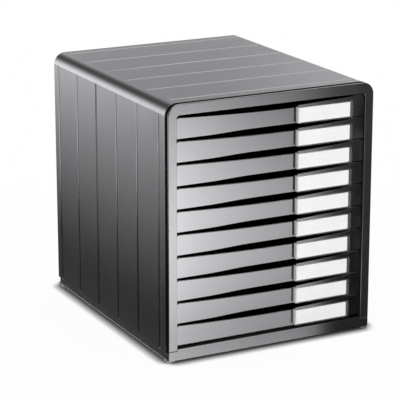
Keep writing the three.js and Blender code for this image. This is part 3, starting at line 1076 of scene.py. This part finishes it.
def cornerGlow(tree, place):
    x, y = addPart(tree, place, "X"), addPart(tree, place, "Y")
    slant = addLean(tree, x, addSum(tree, y, -cornerCard["middle"]), -cornerCard["lean"])
    level = addRange(tree, slant, cornerCard["from"], cornerCard["to"],
                     cornerCard["dark"], cornerCard["strength"])
    level = addProduct(tree, level, addRange(tree, x, *cornerCard["far"], cornerCard["farLevel"], 1))
    beside = addLean(tree, addAway(tree, place), addSum(tree, x, -cadBox[0].x), cornerCard["fillLean"])
    return addSum(tree, level, addRange(tree, beside, *cornerCard["fillRange"], 0, frontCard["fill"]))


sideCard = {
    "strength": 6.6, "reach": 1.4, "cornerRange": (0.05, -0.1),
    "wedgeLean": 1.7, "wedge": (-0.5, -0.42), "wedgeLevel": 0.02,  # only the grooves show this dark wedge
    "stops": [
        (0, 0.034), (0.043, 0.026), (0.071, 0.035), (0.114, 0.07), (0.143, 0.095), (0.193, 0.155),
        (0.25, 0.215), (0.314, 0.31), (0.357, 0.375), (0.414, 0.47), (0.536, 0.68), (0.75, 0.94), (1, 1),
    ],
}


def sideGlow(tree, place):
    x, y = addPart(tree, place, "X"), addPart(tree, place, "Y")
    away = addRange(tree, x, cadBox[0].x, cadBox[0].x - sideCard["reach"], 0, 1)
    level = addSteps(tree, away, sideCard["stops"], "LINEAR")
    wedge = addLean(tree, y, x, sideCard["wedgeLean"])
    level = addProduct(tree, level, addRange(tree, wedge, *sideCard["wedge"], sideCard["wedgeLevel"], 1))
    corner = addProduct(tree, cornerGlow(tree, place), addRange(tree, y, *sideCard["cornerRange"], 0, 1))
    return addSum(tree, addProduct(tree, level, sideCard["strength"]), corner)


# Lights the right side and the back
rightCard = {
    "strength": 1.7, "reach": 1.3, "stops": [(0, 0.03), (0.08, 0.04), (0.3, 0.3), (0.6, 0.8), (1, 1)],
}


def rightGlow(tree, place):
    beside = addSum(tree, addPart(tree, place, "X"), -cadBox[1].x)
    behind = addSum(tree, addPart(tree, place, "Y"), -cadBox[1].y)
    away = addRange(tree, addMath(tree, "MAXIMUM", beside, behind), 0, rightCard["reach"], 0, 1)
    return addProduct(tree, addSteps(tree, away, rightCard["stops"]), rightCard["strength"])


left, split, far = cadBox[0].x, studioPlan["split"], studioPlan["reach"]
cardFront = frontY - studioPlan["gap"]
makeReflector("front_reflector", (split, -far), (studioPlan["right"], cardFront), frontGlow)
makeReflector("corner_reflector", (-far, -far), (split, cardFront), cornerGlow)
makeReflector("side_reflector", (-far, frontY), (left, studioPlan["rear"]), sideGlow)
makeReflector("right_reflector", (left, frontY), (far, studioPlan["rear"]), rightGlow)
print("floor and reflectors made")


# World: plain light, white behind the object, and a softer studio in the gloss
worldLight = {
    "level": 0.985, "front": 0.25, "frontRange": (-0.2, 0.6), "below": 0.03, "horizon": (-0.06, -0.05),
    "softbox": 6.8, "bandHalf": 0.6,
    "band": [
        (0, 0.13), (0.2, 0.12), (0.3, 0.07), (0.37, 0.05), (0.45, 0.07), (0.52, 0.11), (0.58, 0.15),
        (0.63, 0.2), (0.72, 0.2), (0.78, 0.16), (0.833, 0.122), (0.875, 0.122), (0.892, 0.13),
        (0.917, 0.17), (1, 0.2),
    ],
    "overhead": 9.5, "overheadRange": (0.68, 0.84),
    "glow": 5.3, "glowX": (-0.2, -0.44), "glowY": (0.45, 0.7), "glowZ": (0.38, 0.08),
}


def studioLevel(tree, place):
    x, y, z = (addPart(tree, place, axis) for axis in "XYZ")
    half = worldLight["bandHalf"]
    band = addSteps(tree, addRange(tree, x, -half, half, 0, 1), worldLight["band"])
    glow = addRange(tree, x, *worldLight["glowX"], 0, worldLight["glow"])  # along the rounded left edge
    glow = addProduct(tree, glow, addRange(tree, y, *worldLight["glowY"], 0, 1))
    glow = addProduct(tree, glow, addRange(tree, z, *worldLight["glowZ"], 0, 1))
    level = addSum(tree, addProduct(tree, band, worldLight["softbox"]), glow)
    level = addProduct(tree, level, addRange(tree, y, *worldLight["frontRange"], worldLight["front"], 1))
    level = addProduct(tree, level, addRange(tree, z, *worldLight["horizon"], worldLight["below"], 1))
    return addSum(tree, level, addRange(tree, z, *worldLight["overheadRange"], 0, worldLight["overhead"]))


def makeWorld():
    world = bpy.data.worlds.new("studio")
    bpy.context.scene.world = world
    world.use_nodes = True
    tree = world.node_tree
    tree.nodes.clear()
    output = addNode(tree, "ShaderNodeOutputWorld")
    place = addNode(tree, "ShaderNodeTexCoord").outputs["Generated"]
    path = addNode(tree, "ShaderNodeLightPath")
    gloss = addNode(tree, "ShaderNodeBackground")
    gloss.inputs["Color"].default_value = coolWhite
    tree.links.new(studioLevel(tree, place), gloss.inputs["Strength"])
    plain = addNode(tree, "ShaderNodeBackground")
    plain.inputs["Color"].default_value = (1, 1, 1, 1)
    white = addRange(tree, path.outputs["Is Camera Ray"], 0, 1, worldLight["level"], 1)
    tree.links.new(white, plain.inputs["Strength"])
    # Rays through the clear windows see the plain light
    direct = addMath(tree, "SUBTRACT", 1, path.outputs["Is Transmission Ray"])
    reflected = addProduct(tree, path.outputs["Is Glossy Ray"], direct)
    mix = addNode(tree, "ShaderNodeMixShader")
    tree.links.new(reflected, mix.inputs["Fac"])
    tree.links.new(plain.outputs["Background"], mix.inputs[1])
    tree.links.new(gloss.outputs["Background"], mix.inputs[2])
    tree.links.new(mix.outputs["Shader"], output.inputs["Surface"])


makeWorld()
print("world made")
